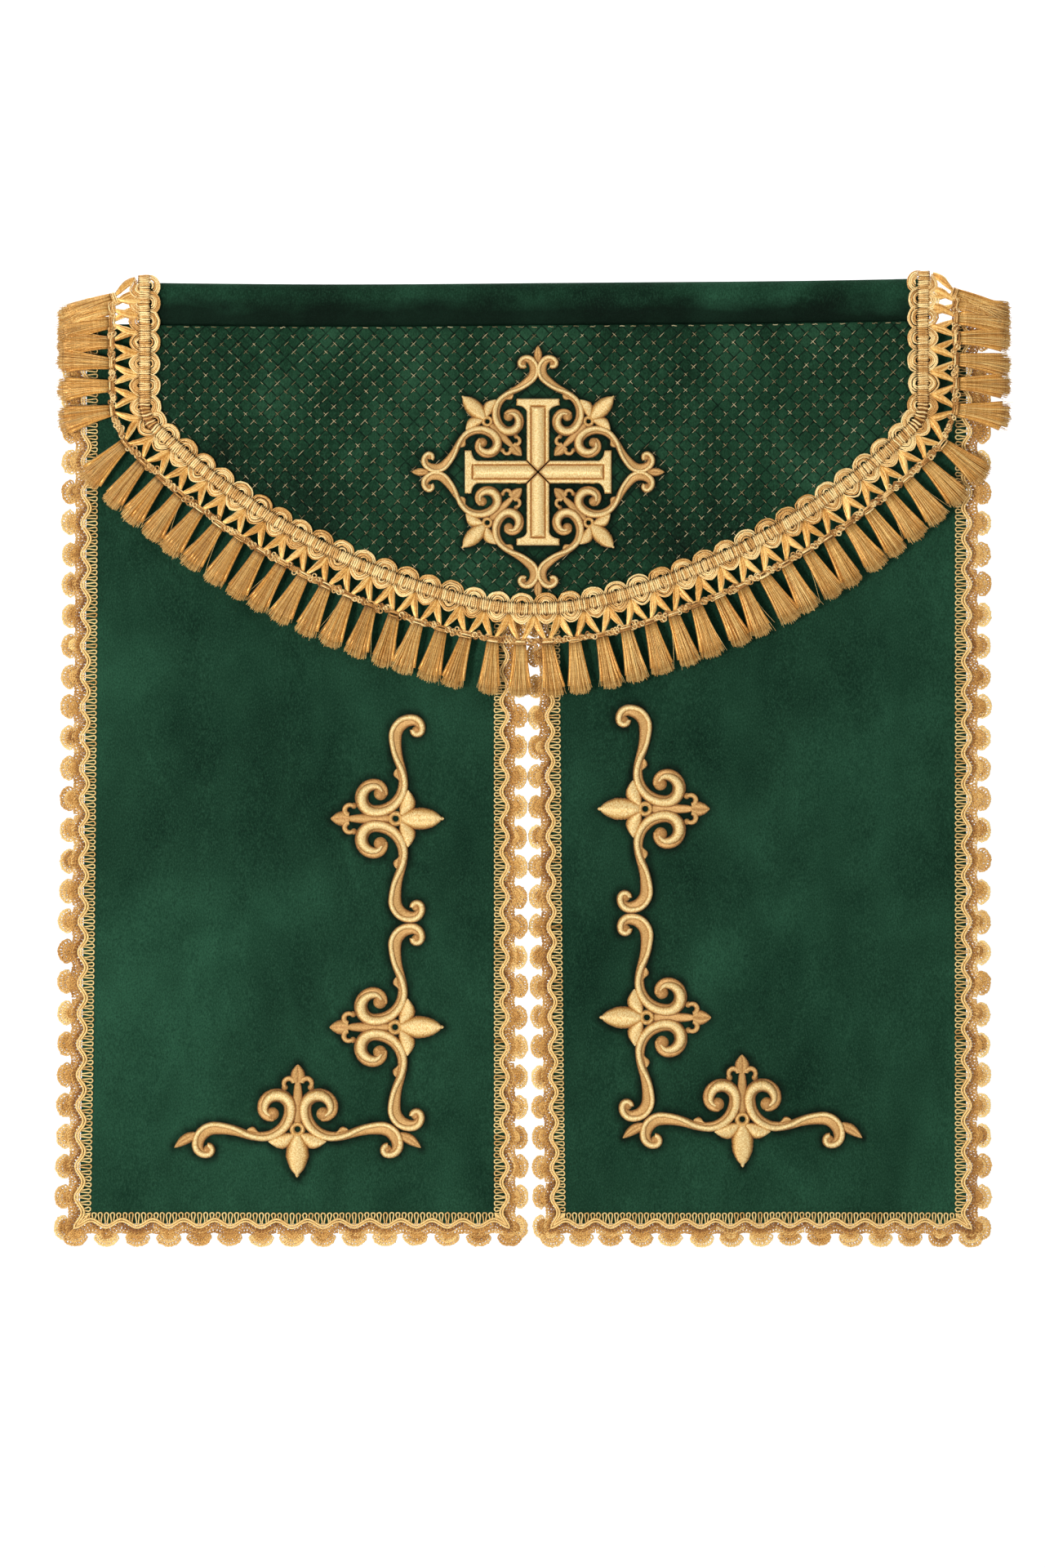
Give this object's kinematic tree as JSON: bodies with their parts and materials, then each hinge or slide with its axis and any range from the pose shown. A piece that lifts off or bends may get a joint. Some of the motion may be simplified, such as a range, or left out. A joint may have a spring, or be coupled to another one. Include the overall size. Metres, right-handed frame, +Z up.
{
  "type": "tabernacle veil",
  "caption": "Velvet tabernacle veil: rod sleeve, quilted valance with a cross and tassel fringe, and lace-edged curtains parting in the middle.",
  "frame": {"origin": "middle of the rod's passage in the top sleeve, halfway along it", "axes": "+X along the rod to the veil's right as seen from the front, +Z up, -Y towards the viewer (the embroidered front)"},
  "size_m": [0.5836, 0.0179, 0.5913],
  "materials": {
    "velvet": "deep cut-pile velvet",
    "quilted_velvet": "velvet quilted with metallic thread",
    "lining": "smooth satin",
    "tape": "plain woven tape",
    "lace": "metallic thread lace",
    "fringe_braid": "metallic gimp braid",
    "tassel_floss": "soft gold floss",
    "gold_embroidery": "padded satin stitch in gold thread"
  },
  "bodies": {
    "hanging": {"rod_sleeve": "velvet", "seam_tape": "tape", "left_curtain_top": "velvet", "left_lining_top": "lining", "left_outer_lace_top": "lace", "left_inner_lace_top": "lace", "left_end_braid": "fringe_braid", "left_end_tassels": "tassel_floss", "right_curtain_top": "velvet", "right_lining_top": "lining", "right_outer_lace_top": "lace", "right_inner_lace_top": "lace", "right_end_braid": "fringe_braid", "right_end_tassels": "tassel_floss"},
    "valance": {"valance_panel": "quilted_velvet", "valance_lining": "lining", "fringe_braid": "fringe_braid", "fringe_net": "fringe_braid", "tassels_left_side": "tassel_floss", "tassels_left_outer": "tassel_floss", "tassels_left_inner": "tassel_floss", "tassels_middle": "tassel_floss", "tassels_right_inner": "tassel_floss", "tassels_right_outer": "tassel_floss", "tassels_right_side": "tassel_floss", "cross_top_arm": "gold_embroidery", "cross_left_arm": "gold_embroidery", "cross_bottom_arm": "gold_embroidery", "cross_right_arm": "gold_embroidery", "cross_scroll_upper_right": "gold_embroidery", "cross_scroll_upper_left": "gold_embroidery", "cross_scroll_lower_left": "gold_embroidery", "cross_scroll_lower_right": "gold_embroidery"},
    "left_leaf": {"left_curtain": "velvet", "left_lining": "lining", "left_outer_lace": "lace", "left_inner_lace": "lace", "left_bottom_lace": "lace", "left_upper_scroll": "gold_embroidery", "left_lower_scroll": "gold_embroidery", "left_base_scroll": "gold_embroidery"},
    "right_leaf": {"right_curtain": "velvet", "right_lining": "lining", "right_outer_lace": "lace", "right_inner_lace": "lace", "right_bottom_lace": "lace", "right_upper_scroll": "gold_embroidery", "right_lower_scroll": "gold_embroidery", "right_base_scroll": "gold_embroidery"}
  },
  "joints": [
    {"name": "valance_lift", "type": "hinge", "parent": "hanging", "child": "valance", "pos_m": [0, -0.0073, -0.0165], "axis": [-1, 0, 0], "range_deg": [0, 100]},
    {"name": "left_curtain_lift", "type": "hinge", "parent": "hanging", "child": "left_leaf", "pos_m": [-0.146, -0.0001, -0.2455], "axis": [-1, 0, 0], "range_deg": [0, 80]},
    {"name": "right_curtain_lift", "type": "hinge", "parent": "hanging", "child": "right_leaf", "pos_m": [0.137, -0.0001, -0.2455], "axis": [-1, 0, 0], "range_deg": [0, 80]}
  ]
}
